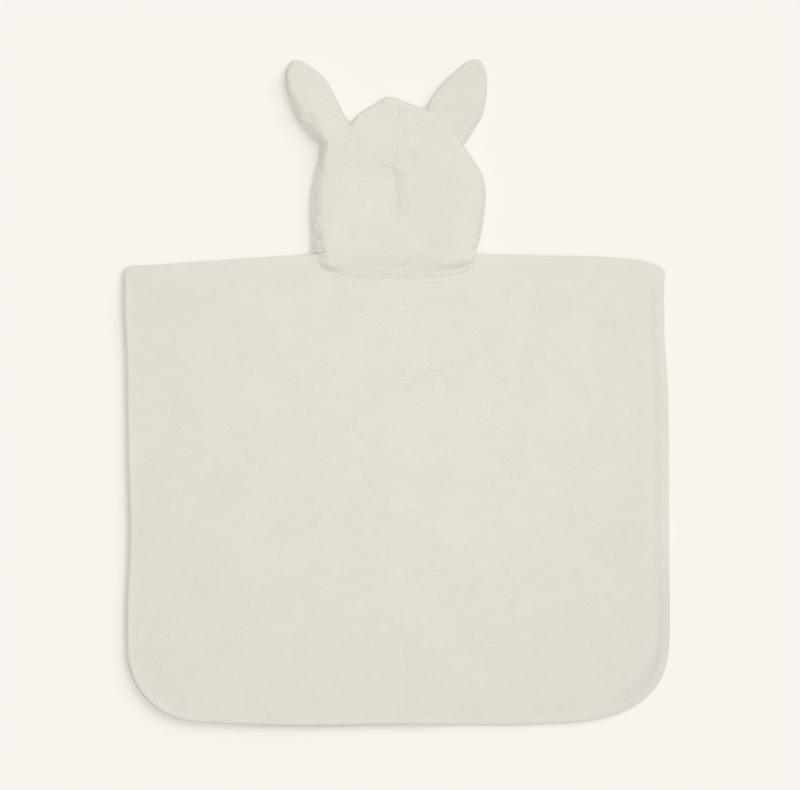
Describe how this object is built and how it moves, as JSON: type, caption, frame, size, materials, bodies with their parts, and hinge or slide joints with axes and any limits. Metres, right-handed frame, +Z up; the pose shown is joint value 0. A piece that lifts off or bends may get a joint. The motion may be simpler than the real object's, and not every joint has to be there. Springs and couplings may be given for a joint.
{
  "type": "hooded bath poncho",
  "caption": "Child's hooded bath poncho in pale terry cloth with long rounded ears on the hood, lying flat with its back up.",
  "frame": {"origin": "on the surface it lies on, under the middle of the garment's bounding box", "axes": "+Z up out of the garment's back, +Y from the bottom hem to the tips of the ears, +X to the right as seen from above"},
  "size_m": [0.7027, 0.854, 0.0099],
  "materials": {
    "body_terry": "matt cotton terry, pale cream grey",
    "hood_terry": "matt cotton terry, pale cream grey",
    "ear_terry": "matt cotton terry, pale cream grey"
  },
  "bodies": {
    "root": {"front_panel": "body_terry", "back_panel": "body_terry", "hood_left": "hood_terry", "hood_right": "hood_terry", "ear_left_back": "ear_terry", "ear_left_front": "ear_terry", "ear_right_back": "ear_terry", "ear_right_front": "ear_terry"}
  },
  "joints": []
}
